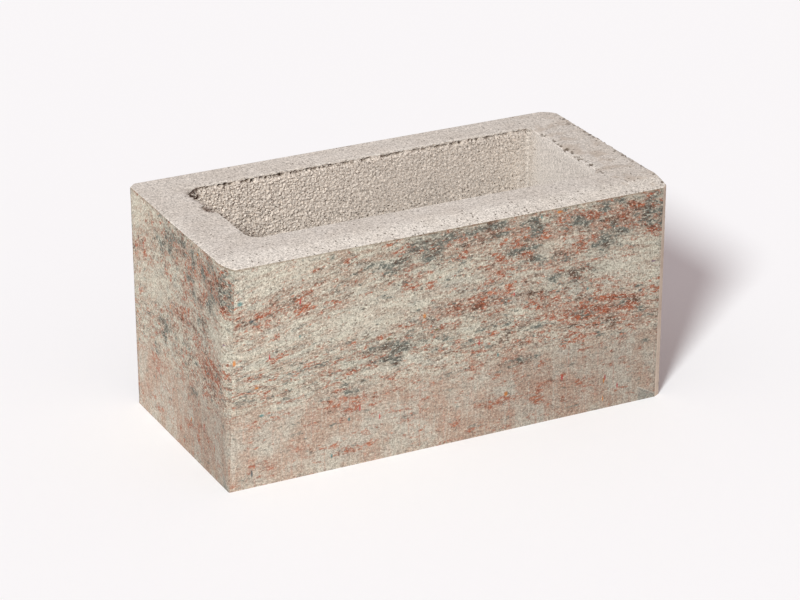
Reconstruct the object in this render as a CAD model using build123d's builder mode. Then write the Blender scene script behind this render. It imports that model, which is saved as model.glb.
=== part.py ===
"""Hollow concrete fence block, cast in one piece round a tapered core that runs right through it.

The block stands on its bed. X runs along its length, Y from the front face to the back one and Z up,
with the origin at the middle of the bed. All sizes are in millimetres.
"""
import math
import os

from build123d import *

# Outside of the casting
block_length = 390.0
block_width = 190.0
block_height = 190.0
upright_edge_chamfer = 6.0

# Edges round the top face: the front one rolls off in a wide arc, the others are only eased
top_edge_radius = 1.5
front_roll_width = 18.0
front_roll_drop = 4.8

# Walls round the core at the top face, which thicken towards the bed so that the core draws out upwards
end_wall = 39.0
front_wall = 40.0
back_wall = 31.0
wall_taper = 5.0
core_corner_radius = 12.0
core_lip_radius = 1.0

# Core, worked out from the walls
core_length = block_length - 2 * end_wall
core_width = block_width - front_wall - back_wall
core_offset = (front_wall - back_wall) / 2
core_draft = math.degrees(math.atan2(wall_taper, block_height))

with BuildPart() as fence_block:
    # Outside, drawn as its plan, with the edges of the top face eased
    with BuildSketch() as plan:
        Rectangle(block_length, block_width)
        chamfer(plan.vertices(), length=upright_edge_chamfer)
    extrude(amount=block_height)
    fillet(fence_block.faces().sort_by(Axis.Z)[-1].edges(), radius=top_edge_radius)

    # Front edge, which leaves the top face level and steepens towards the front face
    front = -block_width / 2
    with BuildSketch(Plane.YZ):
        with BuildLine():
            corner = Polyline(
                (front, block_height - front_roll_drop),
                (front, block_height),
                (front + front_roll_width, block_height),
            )
            TangentArc(corner @ 1, corner @ 0, tangent=(-1, 0))
        make_face()
    extrude(amount=block_length / 2, both=True, mode=Mode.SUBTRACT)

    # Core, cut down from the top face to the bed
    with BuildSketch(Plane.XY.offset(block_height)):
        with Locations((0, core_offset)):
            RectangleRounded(core_length, core_width, core_corner_radius)
    extrude(amount=-block_height, taper=core_draft, mode=Mode.SUBTRACT)

    # Lip where the core meets the top face
    lip = fence_block.faces().sort_by(Axis.Z)[-1].inner_wires()[0]
    fillet(lip.edges(), radius=core_lip_radius)

fence_block.part.label = "fence_block"

os.makedirs("parts", exist_ok=True)
export_step(fence_block.part, "parts/fence_block.step")
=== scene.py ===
"""Dresses the fence block: a hollow casting with streaked coloured faces, a sandy rim and a rough core."""
from __future__ import annotations

import logging
import math
from collections.abc import Callable
from dataclasses import dataclass, field
from enum import Enum

import bmesh
import bpy
import numpy as np
from mathutils import Matrix, Vector, noise


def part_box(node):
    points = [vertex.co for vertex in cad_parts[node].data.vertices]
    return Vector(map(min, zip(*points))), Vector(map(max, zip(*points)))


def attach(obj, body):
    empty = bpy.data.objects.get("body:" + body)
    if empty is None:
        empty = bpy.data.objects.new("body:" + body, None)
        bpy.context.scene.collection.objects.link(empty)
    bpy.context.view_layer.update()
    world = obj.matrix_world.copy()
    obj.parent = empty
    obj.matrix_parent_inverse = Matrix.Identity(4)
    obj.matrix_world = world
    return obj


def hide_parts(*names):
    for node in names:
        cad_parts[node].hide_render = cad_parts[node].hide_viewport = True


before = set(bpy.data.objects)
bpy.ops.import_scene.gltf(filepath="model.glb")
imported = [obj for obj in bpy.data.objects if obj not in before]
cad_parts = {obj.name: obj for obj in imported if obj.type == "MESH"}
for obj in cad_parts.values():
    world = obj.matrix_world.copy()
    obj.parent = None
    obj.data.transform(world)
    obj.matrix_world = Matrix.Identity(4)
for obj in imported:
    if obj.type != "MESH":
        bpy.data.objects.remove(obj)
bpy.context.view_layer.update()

log = logging.getLogger("fence_block")

Socket = bpy.types.NodeSocket
ShaderNode = bpy.types.Node
Tree = bpy.types.NodeTree
Piece = bpy.types.Object
Look = tuple[Socket, Socket]
Pair = tuple[float, float]
Span = tuple[float, ...]
Triple = tuple[float, float, float]
Colour = tuple[float, float, float, float]

NODE = "fence_block"
BODY = "root"
PATTERN_MAP = "pattern"
FLOW_MAP = "flow"
PAINT_ATTRIBUTE = "paint"
# Attribute with the painted shade in broken, dug and sunk hollows and in the core's back right corner
HOLLOW_SHADE_ATTRIBUTE = "hollow"
OPEN_ATTRIBUTE = "open_grain"
MM = 0.001
TINY = 1e-6
# Value that a noise lies round
NOISE_MIDDLE = 0.5
# How far apart the patterns of the faces are taken from, in millimetres
FACE_STEP = 1000.0


def paint(red: int, green: int, blue: int) -> Colour:
    """Turns a colour as a screen shows it into the linear colour that shaders take.

    Args:
        red: Red, 0 to 255.
        green: Green, 0 to 255.
        blue: Blue, 0 to 255.

    Returns:
        Linear red, green and blue, and an alpha of one.
    """
    shares = (channel / 255 for channel in (red, green, blue))
    return (*(s / 12.92 if s <= 0.04045 else ((s + 0.055) / 1.055) ** 2.4 for s in shares), 1.0)


def ease(low: float, high: float, value: np.ndarray) -> np.ndarray:
    """Rises smoothly from 0 at low to 1 at high.

    Args:
        low: Value where the result is 0. It may be above high.
        high: Value where the result is 1.
        value: Values to ease.

    Returns:
        Eased values from 0 to 1.
    """
    t = np.clip((value - low) / (high - low), 0.0, 1.0)
    return t * t * (3.0 - 2.0 * t)


def read(
    items: bpy.types.bpy_prop_collection, name: str, width: int = 1, kind: type = np.int32
) -> np.ndarray:
    """Reads a property of many mesh elements.

    Args:
        items: Vertices, loops or polygons.
        name: Name of the property.
        width: Number of values that each element has.
        kind: Type of the values.

    Returns:
        A value for each element, or a row where the width is more than one.
    """
    values = np.zeros(len(items) * width, kind)
    items.foreach_get(name, values)
    return values.reshape(-1, width) if width > 1 else values


class Zone(Enum):
    """Stretches of the block's surface that differ in finish. The value is the material slot."""

    FACE = 0
    RIM = 1
    CORE = 2
    BED = 3


class Graph:
    """A node tree, with short ways to add nodes and join them."""

    def __init__(self, tree: Tree) -> None:
        """Takes over the node tree."""
        self.tree = tree

    def add(self, kind: str, feeds: dict | None = None, **settings: object) -> ShaderNode:
        """Adds a node.

        Args:
            kind: Node type, without its ShaderNode prefix.
            feeds: Socket name or number to a value or to the output that feeds it.
            settings: Node properties.

        Returns:
            The new node.
        """
        node = self.tree.nodes.new(kind if kind.startswith("NodeGroup") else f"ShaderNode{kind}")
        for name, value in settings.items():
            setattr(node, name, value)
        for socket, value in (feeds or {}).items():
            self.feed(node.inputs[socket], value)
        return node

    def feed(self, socket: Socket, value: object) -> None:
        """Joins an output to a socket, or sets the socket's own value.

        Args:
            socket: Input that is fed.
            value: An output socket, a number, a vector or a colour.
        """
        if isinstance(value, Socket):
            self.tree.links.new(value, socket)
        else:
            socket.default_value = value

    def group(self, tree: Tree, feeds: dict) -> ShaderNode:
        """Places a node group and feeds its named sockets."""
        return self.add("Group", feeds, node_tree=tree)

    def math(self, operation: str, first: object, second: object = 0.0, clamp: bool = False) -> Socket:
        """Adds a Math node and returns its result."""
        return self.add("Math", {0: first, 1: second}, operation=operation, use_clamp=clamp).outputs[0]

    def times(self, first: object, second: object, clamp: bool = False) -> Socket:
        """Multiplies two values."""
        return self.math("MULTIPLY", first, second, clamp)

    def plus(self, first: object, second: object) -> Socket:
        """Adds two values."""
        return self.math("ADD", first, second)

    def minus(self, first: object, second: object) -> Socket:
        """Takes the second value from the first."""
        return self.math("SUBTRACT", first, second)

    def ramp(
        self, value: object, low: object, high: object, to_low: object = 0.0, to_high: object = 1.0
    ) -> Socket:
        """Eases a value from to_low at low to to_high at high with a Map Range node."""
        feeds = {"Value": value, "From Min": low, "From Max": high, "To Min": to_low, "To Max": to_high}
        return self.add("MapRange", feeds, interpolation_type="SMOOTHSTEP").outputs[0]

    def mix(self, share: object, first: object, second: object, blend: str = "MIX") -> Socket:
        """Mixes two colours and returns the result."""
        feeds = {0: share, 6: first, 7: second}
        return self.add("Mix", feeds, data_type="RGBA", blend_type=blend).outputs[2]

    def toned(self, colour: object, tone: object) -> Socket:
        """Multiplies a colour by a tone round 1."""
        return self.mix(1.0, colour, tone, "MULTIPLY")

    def cover(self, colour: object, mask: object, share: object, tint: object) -> Socket:
        """Lays a tint over a colour where the mask says, and no more than the share of it."""
        return self.mix(self.times(mask, share), colour, tint)

    def noise(self, place: object, clouds: Clouds) -> ShaderNode:
        """Adds a Noise Texture with lumps of the given size."""
        feeds = {"Vector": place, "Scale": 1.0 / clouds.size}
        return self.add("TexNoise", {**feeds, "Detail": clouds.detail, "Roughness": clouds.roughness})

    def mottle(self, place: object, clouds: Clouds, span: Span, first: object, second: object) -> Socket:
        """Mixes two colours in soft clouds."""
        return self.mix(self.ramp(self.noise(place, clouds).outputs[0], *span), first, second)

    def vector(self, operation: str, first: object, second: object) -> Socket:
        """Adds a Vector Math node and returns its vector."""
        return self.add("VectorMath", {0: first, 1: second}, operation=operation).outputs[0]

    def channels(self, colour: object) -> list[Socket]:
        """Splits a colour into red, green and blue."""
        return list(self.add("SeparateColor", {0: colour}).outputs)

    def attribute(self, name: str) -> Socket:
        """Reads a number that the mesh carries."""
        return self.add("Attribute", attribute_name=name).outputs["Fac"]

    def spot(self, tree: Tree, place: object, middle: Triple, reach: Triple) -> Socket:
        """Places the group for one soft spot and returns its mask."""
        return self.group(tree, {"Place": place, "Middle": middle, "Half Size": reach}).outputs[0]


def new_group(
    name: str, inputs: dict[str, object], outputs: dict[str, str]
) -> tuple[Graph, dict, ShaderNode]:
    """Makes an empty shader node group with named sockets.

    Args:
        name: Name of the group.
        inputs: Input name to its default value. A tuple of three makes a vector, four a colour.
        outputs: Output name to its socket type.

    Returns:
        The group's graph, its inputs by name and its output node.
    """
    tree = bpy.data.node_groups.new(name, "ShaderNodeTree")
    for socket_name, value in inputs.items():
        kind = "NodeSocketFloat"
        if isinstance(value, tuple):
            kind = "NodeSocketVector" if len(value) == 3 else "NodeSocketColor"
        socket = tree.interface.new_socket(socket_name, in_out="INPUT", socket_type=kind)
        socket.default_value = value
    for socket_name, kind in outputs.items():
        tree.interface.new_socket(socket_name, in_out="OUTPUT", socket_type=kind)
    graph = Graph(tree)
    entry = graph.add("NodeGroupInput")
    leave = graph.add("NodeGroupOutput")
    return graph, {socket.name: socket for socket in entry.outputs if socket.name}, leave


def sand_group() -> Tree:
    """Makes the group for sand: grains of two sizes, as a tone round 1 and a height."""
    graph, given, leave = new_group(
        "sand",
        {"Place": (0.0, 0.0, 0.0), "Fine": 800.0, "Coarse": 250.0, "Contrast": 0.2},
        {"Tone": "NodeSocketFloat", "Height": "NodeSocketFloat"},
    )
    fine_share = 0.6
    fine, coarse = (
        graph.add("TexNoise", {"Vector": given["Place"], "Scale": given[kind], "Detail": 1.0}).outputs[0]
        for kind in ("Fine", "Coarse")
    )
    both = graph.plus(graph.times(fine, fine_share), graph.times(coarse, 1.0 - fine_share))
    swing = graph.times(graph.minus(both, NOISE_MIDDLE), given["Contrast"])
    graph.feed(leave.inputs["Tone"], graph.plus(swing, 1.0))
    graph.feed(leave.inputs["Height"], both)
    return graph.tree


def pore_group() -> Tree:
    """Makes the group for pores: round pinholes in some of the cells of a scattered pattern."""
    graph, given, leave = new_group(
        "pores",
        {"Place": (0.0, 0.0, 0.0), "Cells": 250.0, "Share": 0.3, "Radius": 0.25},
        {"Mask": "NodeSocketFloat"},
    )
    soft_start, smallest, heart = 0.05, 0.4, 0.4
    cells = graph.add("TexVoronoi", {"Vector": given["Place"], "Scale": given["Cells"], "Randomness": 1.0})
    chance, size, _ = graph.channels(cells.outputs["Color"])
    bare = graph.minus(1.0, given["Share"])
    present = graph.ramp(chance, bare, graph.plus(bare, soft_start))
    radius = graph.times(given["Radius"], graph.plus(size, smallest))
    dot = graph.ramp(cells.outputs["Distance"], radius, graph.times(radius, heart))
    graph.feed(leave.inputs["Mask"], graph.times(dot, present))
    return graph.tree


def fleck_group() -> Tree:
    """Makes the group for flecks of one paint, which crowd in streaks and where there is much of it."""
    graph, given, leave = new_group(
        "flecks",
        {"Flow": (0.0, 0.0, 0.0), "Seed": 0.0, "Amount": 0.0, "Few": 0.62, "Many": 0.49},
        {"Cloud": "NodeSocketFloat", "Heart": "NodeSocketFloat"},
    )
    stretch, crowding, softness = (0.55, 1.0, 1.0), 6.0, 0.06
    spread = graph.add("CombineXYZ", {2: given["Seed"]})
    moved = graph.vector("ADD", given["Flow"], spread.outputs[0])
    lumps = graph.noise(moved, Clouds(4.5 * MM, 5.0, 0.88)).outputs[0]
    streaks = graph.noise(graph.vector("MULTIPLY", moved, stretch), Clouds(7 * MM, 3.0, 0.6)).outputs[0]
    swing = graph.times(graph.minus(streaks, NOISE_MIDDLE), crowding)
    amount = graph.plus(given["Amount"], swing)
    feeds = {"Value": amount, "To Min": given["Few"], "To Max": given["Many"]}
    edge = graph.add("MapRange", feeds, clamp=False).outputs[0]
    graph.feed(leave.inputs["Cloud"], graph.ramp(lumps, graph.minus(edge, softness), edge))
    graph.feed(leave.inputs["Heart"], graph.ramp(lumps, edge, graph.plus(edge, softness)))
    return graph.tree


def drip_group() -> Tree:
    """Makes the group for one small mark of undiluted paint: a soft upright ellipse."""
    graph, given, leave = new_group(
        "drip",
        {"Place": (0.0, 0.0, 0.0), "Middle": (0.0, 0.0, 0.0), "Half Size": (0.001, 0.003, 1.0)},
        {"Mask": "NodeSocketFloat"},
    )
    edge, heart = 1.2, 0.3
    offset = graph.vector("SUBTRACT", given["Place"], given["Middle"])
    share = graph.vector("DIVIDE", offset, given["Half Size"])
    reach = graph.add("VectorMath", {0: share}, operation="LENGTH").outputs["Value"]
    graph.feed(leave.inputs["Mask"], graph.ramp(reach, edge, heart))
    return graph.tree


@dataclass(frozen=True)
class Groups:
    """The node groups that the finishes share."""

    sand: Tree = field(default_factory=sand_group)
    pores: Tree = field(default_factory=pore_group)
    flecks: Tree = field(default_factory=fleck_group)
    drip: Tree = field(default_factory=drip_group)


@dataclass(frozen=True)
class Streak:
    """A place on a long face where one paint gathers, in millimetres from the face's bottom middle."""

    along: float
    up: float
    half_length: float
    half_width: float
    tilt: float = 0.0
    strength: float = 1.0
    left_at_edge: float = 0.4

    def amount(self, along: np.ndarray, up: np.ndarray) -> np.ndarray:
        """Works out how much paint the streak leaves at places on the face.

        Args:
            along: How far along the face each place is, in millimetres.
            up: How high each place is, in millimetres.

        Returns:
            Amounts from 0 to the streak's strength.
        """
        cosine, sine = math.cos(math.radians(self.tilt)), math.sin(math.radians(self.tilt))
        a, b = along - self.along, up - self.up
        length = (a * cosine + b * sine) / self.half_length
        width = (b * cosine - a * sine) / self.half_width
        return self.strength * self.left_at_edge ** (length**2 + width**2)


@dataclass(frozen=True)
class Drip:
    """A small mark of undiluted paint on a long face, in millimetres from the face's bottom middle."""

    along: float
    up: float
    half_width: float = 0.8
    half_height: float = 3.0


@dataclass(frozen=True)
class PaintPlan:
    """Where the paints lie on a long face. The ends carry the same plan, squeezed to their width."""

    slate: tuple[Streak, ...] = (
        Streak(-22, 172, 34, 9, 10),
        Streak(30, 180, 20, 5, 4),
        Streak(77, 174, 15, 4, -6),
        Streak(116, 172, 10, 7, 10),
        Streak(147, 179, 18, 4, -3),
        Streak(176, 162, 13, 7, -8),
        Streak(141, 151, 20, 6, 28),
        Streak(65, 152, 20, 7, -10, 0.8),
        Streak(115, 124, 15, 7, 8, 1.2),
        Streak(-55, 93, 30, 9, 10, 0.8),
        Streak(60, 57, 18, 4, -6, 1.8),
        Streak(-82, 65, 8, 4, 0, 1.1),
        Streak(193, 165, 9, 22, 0, 0.6),
    )
    red: tuple[Streak, ...] = (
        Streak(30, 171, 26, 8, 3),
        Streak(140, 168, 32, 10, -6, 1.2),
        Streak(180, 155, 12, 6, -5),
        Streak(75, 163, 34, 7, -4),
        Streak(165, 173, 26, 7, -6, 1.1),
        Streak(112, 151, 26, 5, 10, 0.6),
        Streak(55, 139, 30, 6, -8, 0.6),
        Streak(95, 143, 24, 5, 8, 0.8),
        Streak(8, 116, 42, 7, 8),
        Streak(52, 116, 18, 5, -8, 0.8),
        Streak(-135, 147, 50, 12, 8, 0.35),
        Streak(140, 88, 44, 15, -8, 0.8),
        Streak(166, 89, 10, 5, -10),
        Streak(14, 64, 10, 3, -5, 1.4),
        Streak(-95, 54, 15, 9, 0, 1.3),
        Streak(162, 60, 9, 4, 0, 1.2),
        Streak(60, 70, 20, 8, 0, 0.6),
        Streak(-38, 28, 10, 5, 0, 1.0),
        Streak(-95, 17, 75, 2.5, 0, 0.8),
        Streak(90, 32, 55, 5, 0, 0.8),
        Streak(90, 16, 85, 3, 0, 0.6),
    )
    cream: tuple[Streak, ...] = (
        Streak(-155, 175, 36, 14, 4),
        Streak(92, 154, 17, 6, 5),
        Streak(162, 122, 36, 16, -8),
        Streak(-100, 124, 85, 14, 5, 0.8),
        Streak(-52, 76, 22, 4, 0, 0.8),
    )
    apex: float = 50.0
    bend: float = 0.0005
    level_below: float = 50.0
    arched_above: float = 120.0
    wander: Pair = (11.0, 7.0)
    wander_grain: float = 16.0
    wander_seed: int = 5
    thickness: float = 1.3

    def flow(self, along: np.ndarray, up: np.ndarray) -> np.ndarray:
        """Gives the band that each place lies in: bands arch over the upper half and run level below it.

        Args:
            along: How far along the face each place is, in millimetres.
            up: How high each place is, in millimetres.

        Returns:
            Height of the band at its apex, in millimetres.
        """
        return up + self.bend * (along - self.apex) ** 2 * ease(self.level_below, self.arched_above, up)

    def amounts(self, along: np.ndarray, up: np.ndarray, seed: np.ndarray) -> np.ndarray:
        """Works out how much of each paint lies at places on the faces.

        Args:
            along: How far along the face each place is, in millimetres.
            up: How high each place is, in millimetres.
            seed: A number for each place, the same all over one face.

        Returns:
            A row for each place with red, slate and cream.
        """
        grid = np.stack([along, up, seed * FACE_STEP], 1) / self.wander_grain
        noise.seed_set(self.wander_seed)
        drift = np.array([noise.turbulence_vector(Vector(g), 2, False) for g in grid])
        a, b = along + drift[:, 0] * self.wander[0], up + drift[:, 1] * self.wander[1]
        plans = (self.red, self.slate, self.cream)
        paints = [np.max([streak.amount(a, b) for streak in plan], axis=0) for plan in plans]
        return np.clip(np.stack(paints, 1) * self.thickness, 0.0, 1.0)


@dataclass(frozen=True)
class Bite:
    """A place where the edge has broken away, as a ball that is taken out, in millimetres."""

    place: Triple
    radius: float


@dataclass(frozen=True)
class Break:
    """A stretch of the core's left lip that has broken back, in millimetres."""

    start: float
    end: float
    back: float
    soft: float = 1.0


@dataclass(frozen=True)
class Corner:
    """An upright edge that is cut off, with the cut's length and width at top and bed, in millimetres."""

    right: bool
    back: bool
    top: Pair
    bed: Pair
    roundness: float = 0.0
    fade: float = 1.0

    @property
    def sign(self) -> np.ndarray:
        """Direction of the corner from the block's middle, along X and Y."""
        return np.array([1.0 if self.right else -1.0, 1.0 if self.back else -1.0])


@dataclass(frozen=True)
class Relief:
    """One layer of clouded relief, pressed into the surface where its vertex group says."""

    name: str
    grain: float
    depth: float
    level: float = 1.0
    contrast: float = 1.0
    brightness: float = 1.0
    detail: int = 2


@dataclass(frozen=True)
class WearPlan:
    """Where wear and the painted shade in its hollows show. Each pair says where it starts and where it is
    full, in metres or of a noise.
    """

    wall_top: Pair = (0.0, 3 * MM)
    wall_foot: Pair = (0.0, 6 * MM)
    holes_left: Pair = (50 * MM, -120 * MM)
    holes_right: float = 0.5
    lip_across: Pair = (3.5 * MM, 0.5 * MM)
    lip_down: Pair = (4 * MM, 1 * MM)
    left_lip: Pair = (15 * MM, 5 * MM)
    left_lip_along: Pair = (2 * MM, 14 * MM)
    left_lip_share: float = 0.5
    back_lip: Pair = (8 * MM, 2 * MM)
    back_lip_along: Pair = (0.0, 12 * MM)
    back_lip_share: float = 0.4
    back_wall: Pair = (6 * MM, 1 * MM)
    ledge_top: Pair = (0.6 * MM, 1.4 * MM)
    ledge_foot: Pair = (5 * MM, 2.5 * MM)
    ledge_left: Pair = (60 * MM, -90 * MM)
    ledge_right: float = 0.6
    ledge_run: float = 9 * MM
    ledge_noise: Pair = (-0.35, 0.0)
    nook_place: Pair = (5 * MM, 7 * MM)
    nook_reach: Pair = (13 * MM, 5 * MM)
    nook_top: Pair = (0.4 * MM, 1.4 * MM)
    nook_foot: Pair = (16 * MM, 9 * MM)
    edge_across: Pair = (2.6 * MM, 1.2 * MM)
    edge_down: Pair = (3 * MM, 1 * MM)
    edge_right: Pair = (4 * MM, 1 * MM)
    edge_back: Pair = (80 * MM, 55 * MM)
    # Painted shade in the core's back right corner: how far it reaches and how dark it is
    corner_shade_reach: Pair = (7 * MM, 1 * MM)
    corner_shade_share: float = 0.18
    # How far a place breaks back, is dug out or sinks before painted shade darkens it fully
    broken: Pair = (0.5 * MM, 2 * MM)
    dug: Pair = (0.1 * MM, 0.8 * MM)
    sunk: Pair = (0.7 * MM, 2.2 * MM)
    least_weight: float = 0.01


@dataclass(frozen=True)
class Clouds:
    """A noise pattern: how large its lumps are, in metres, and how much finer detail they carry."""

    size: float
    detail: float = 2.0
    roughness: float = 0.5


@dataclass(frozen=True)
class Pinholes:
    """Pinholes of one kind: cells to the metre, a hole's radius in its cell, and how far it darkens."""

    cells: float
    radius: float
    opacity: float


@dataclass(frozen=True)
class Flecks:
    """Flecks of one paint: which ones, how much less lies low down, their bounds and how far they cover."""

    seed: float
    less_below: float
    few: float
    many: float
    thin_share: float
    thick_share: float


@dataclass(frozen=True)
class Marks:
    """The drips of one undiluted paint."""

    tint: Colour
    drips: tuple[Drip, ...]


@dataclass(frozen=True)
class Finish:
    """A concrete finish. Each kind draws its own colour and height."""

    name: str = "concrete"
    roughness: float = 0.9
    shine: float = 0.25
    bump: float = 0.0004
    grains_per_metre: Pair = (950.0, 520.0)
    pore: Colour = paint(106, 92, 78)

    def material(self, groups: Groups) -> bpy.types.Material:
        """Makes the material.

        Args:
            groups: Shared node groups.

        Returns:
            The finished material.
        """
        made = bpy.data.materials.new(self.name)
        made.use_nodes = True
        made.node_tree.nodes.clear()
        graph = Graph(made.node_tree)
        colour, height = self.draw(graph, groups)
        bump = graph.add("Bump", {"Height": height, "Distance": self.bump, "Strength": 1.0})
        shader = graph.add(
            "BsdfPrincipled",
            {
                "Base Color": colour,
                "Roughness": self.roughness,
                "Specular IOR Level": self.shine,
                "Normal": bump.outputs[0],
            },
        )
        graph.add("OutputMaterial", {"Surface": shader.outputs[0]})
        return made

    def sanded(self, graph: Graph, groups: Groups, place: object, colour: object, contrast: object) -> Look:
        """Strews sand over a colour.

        Args:
            graph: The material's graph.
            groups: Shared node groups.
            place: Output with the place on the block.
            colour: Colour so far.
            contrast: How far the grains differ in tone.

        Returns:
            Colour with the sand, and the height of its grains.
        """
        fine, coarse = self.grains_per_metre
        feeds = {"Place": place, "Fine": fine, "Coarse": coarse, "Contrast": contrast}
        sand = graph.group(groups.sand, feeds)
        return graph.toned(colour, sand.outputs["Tone"]), sand.outputs["Height"]

    def pricked(
        self, graph: Graph, groups: Groups, place: object, colour: object, holes: Pinholes, crowd: object
    ) -> Look:
        """Pricks pinholes into a colour.

        Args:
            graph: The material's graph.
            groups: Shared node groups.
            place: Output with the place on the block.
            colour: Colour so far.
            holes: Size and darkness of the pinholes.
            crowd: Share of the cells that have one.

        Returns:
            Colour with the pinholes, and their mask.
        """
        feeds = {"Place": place, "Cells": holes.cells, "Share": crowd, "Radius": holes.radius}
        mask = graph.group(groups.pores, feeds).outputs["Mask"]
        return graph.cover(colour, mask, holes.opacity, self.pore), mask

    def draw(self, graph: Graph, groups: Groups) -> Look:
        """Draws the finish and returns its colour and height outputs."""
        raise NotImplementedError


@dataclass(frozen=True)
class PressedRim(Finish):
    """Sandy top face, pressed smooth: pinholes crowd along its front, right edge and right core lip."""

    name: str = "pressed_rim"
    bump: float = 0.0005
    sand: Colour = paint(212, 204, 195)
    shade: Colour = paint(206, 197, 187)
    smudge: Colour = paint(188, 172, 156)
    ridge_highlight: Colour = paint(224, 218, 210)
    contrast: float = 2.25
    clouds: Clouds = Clouds(26 * MM, 3.0, 0.6)
    cloud_span: Span = (0.35, 0.65)
    smudges: Clouds = Clouds(15 * MM, 3.0, 0.6)
    smudge_span: Span = (0.47, 0.66, 0.0, 0.55)
    smudge_from: Span = (0.13, 0.165)
    ridge_highlight_place: Triple = (-0.178, 0.0095, 0.19)
    ridge_highlight_reach: Triple = (0.013, 0.0012, 1.0)
    ridge_highlight_share: float = 0.6
    crowds: Clouds = Clouds(15 * MM)
    crowd_span: Span = (0.45, 0.7, 0.06, 0.35)
    front_band: Span = (-0.074, -0.088, 0.0, 0.35)
    pores: Pinholes = Pinholes(440.0, 0.34, 0.75)
    right_band: Span = (0.1885, 0.1925, 0.0, 0.6)
    lip_place: Triple = (0.1583, -0.008, 0.19)
    lip_reach: Triple = (0.004, 0.05, 1.0)
    lip_share: float = 0.9
    pits: Pinholes = Pinholes(330.0, 0.55, 0.85)
    dim: Span = (0.0, 0.18, 1.0, 0.93)
    hollow_shade_share: float = 0.75

    def draw(self, graph: Graph, groups: Groups) -> Look:
        """Draws pale sand with soft clouds, scattered pinholes and smudges towards the right.

        Args:
            graph: The material's graph.
            groups: Shared node groups.

        Returns:
            Colour and height outputs.
        """
        place = graph.add("TexCoord").outputs["Object"]
        right, back, _ = graph.add("SeparateXYZ", {0: place}).outputs
        colour = graph.mottle(place, self.clouds, self.cloud_span, self.sand, self.shade)
        colour, height = self.sanded(graph, groups, place, colour, self.contrast)
        smudged = graph.ramp(graph.noise(place, self.smudges).outputs[0], *self.smudge_span)
        colour = graph.cover(colour, smudged, graph.ramp(right, *self.smudge_from), self.smudge)
        # Painted highlight: a light line where a low ridge crosses the left rim; the ridge itself is not
        # modelled
        ridge_highlight = graph.spot(groups.drip, place, self.ridge_highlight_place, self.ridge_highlight_reach)
        colour = graph.cover(colour, ridge_highlight, self.ridge_highlight_share, self.ridge_highlight)
        crowd = graph.ramp(graph.noise(place, self.crowds).outputs[0], *self.crowd_span)
        crowd = graph.plus(crowd, graph.ramp(back, *self.front_band))
        colour, pores = self.pricked(graph, groups, place, colour, self.pores, crowd)
        along_lip = graph.spot(groups.drip, place, self.lip_place, self.lip_reach)
        crowd = graph.plus(graph.ramp(right, *self.right_band), graph.times(along_lip, self.lip_share))
        colour, pits = self.pricked(graph, groups, place, colour, self.pits, crowd)
        # Painted shade: the rim darkens towards the right, where the light falls off
        colour = graph.toned(colour, graph.ramp(right, *self.dim))
        # Painted shade in the bites, breaks and sunk hollows, in the pore colour
        colour = graph.cover(colour, graph.attribute(HOLLOW_SHADE_ATTRIBUTE), self.hollow_shade_share, self.pore)
        return colour, graph.minus(height, graph.plus(pores, pits))


@dataclass(frozen=True)
class OpenCore(Finish):
    """Open-grained wall of the core."""

    name: str = "open_core"
    bump: float = 0.0006
    grains_per_metre: Pair = (1000.0, 600.0)
    grain: Colour = paint(213, 201, 190)
    shade: Colour = paint(198, 184, 171)
    pore: Colour = paint(108, 89, 72)
    smooth: Colour = paint(215, 206, 198)
    clouds: Clouds = Clouds(1.7 * MM, 2.0, 0.6)
    cloud_span: Span = (0.36, 0.66)
    contrast: Span = (0.0, 1.0, 2.0, 2.5)
    rough: Span = (0.0, 1.0, 0.4, 1.0)
    crowd_share: float = 0.6
    pores: Pinholes = Pinholes(560.0, 0.32, 0.85)
    hollow_shade_share: float = 0.7
    dim: Span = (-0.14, 0.14, 1.02, 0.92)

    def draw(self, graph: Graph, groups: Groups) -> Look:
        """Draws sand with darker hollows between its grains, which close up where the wall is smooth.

        Args:
            graph: The material's graph.
            groups: Shared node groups.

        Returns:
            Colour and height outputs.
        """
        place = graph.add("TexCoord").outputs["Object"]
        open_grain = graph.attribute(OPEN_ATTRIBUTE)
        colour = graph.mottle(place, self.clouds, self.cloud_span, self.grain, self.shade)
        colour = graph.mix(open_grain, self.smooth, colour)
        contrast = graph.ramp(open_grain, *self.contrast)
        colour, height = self.sanded(graph, groups, place, colour, contrast)
        crowd = graph.times(open_grain, self.crowd_share)
        colour, pores = self.pricked(graph, groups, place, colour, self.pores, crowd)
        # Painted shade in the bites, breaks and sunk hollows and in the back right corner, in the pore
        # colour
        colour = graph.cover(colour, graph.attribute(HOLLOW_SHADE_ATTRIBUTE), self.hollow_shade_share, self.pore)
        # Painted shade: the wall darkens towards the right, where the light falls off
        right = graph.add("SeparateXYZ", {0: place}).outputs[0]
        colour = graph.toned(colour, graph.ramp(right, *self.dim))
        return colour, graph.times(graph.minus(height, pores), graph.ramp(open_grain, *self.rough))


@dataclass(frozen=True)
class PlainConcrete(Finish):
    """Bare concrete of the bed and of the front's right edge, as it came out of the mould."""

    name: str = "plain_concrete"
    grains_per_metre: Pair = (800.0, 300.0)
    sand: Colour = paint(196, 178, 162)
    shade: Colour = paint(178, 160, 144)
    pore: Colour = paint(120, 106, 92)
    contrast: float = 0.4
    clouds: Clouds = Clouds(25 * MM, 3.0, 0.6)
    cloud_span: Span = (0.35, 0.68)
    pores: Pinholes = Pinholes(220.0, 0.3, 0.7)
    pore_share: float = 0.3

    def draw(self, graph: Graph, groups: Groups) -> Look:
        """Draws plain tan sand with large pores.

        Args:
            graph: The material's graph.
            groups: Shared node groups.

        Returns:
            Colour and height outputs.
        """
        place = graph.add("TexCoord").outputs["Object"]
        colour = graph.mottle(place, self.clouds, self.cloud_span, self.sand, self.shade)
        colour, height = self.sanded(graph, groups, place, colour, self.contrast)
        colour, pores = self.pricked(graph, groups, place, colour, self.pores, self.pore_share)
        return colour, graph.minus(height, pores)


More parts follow.
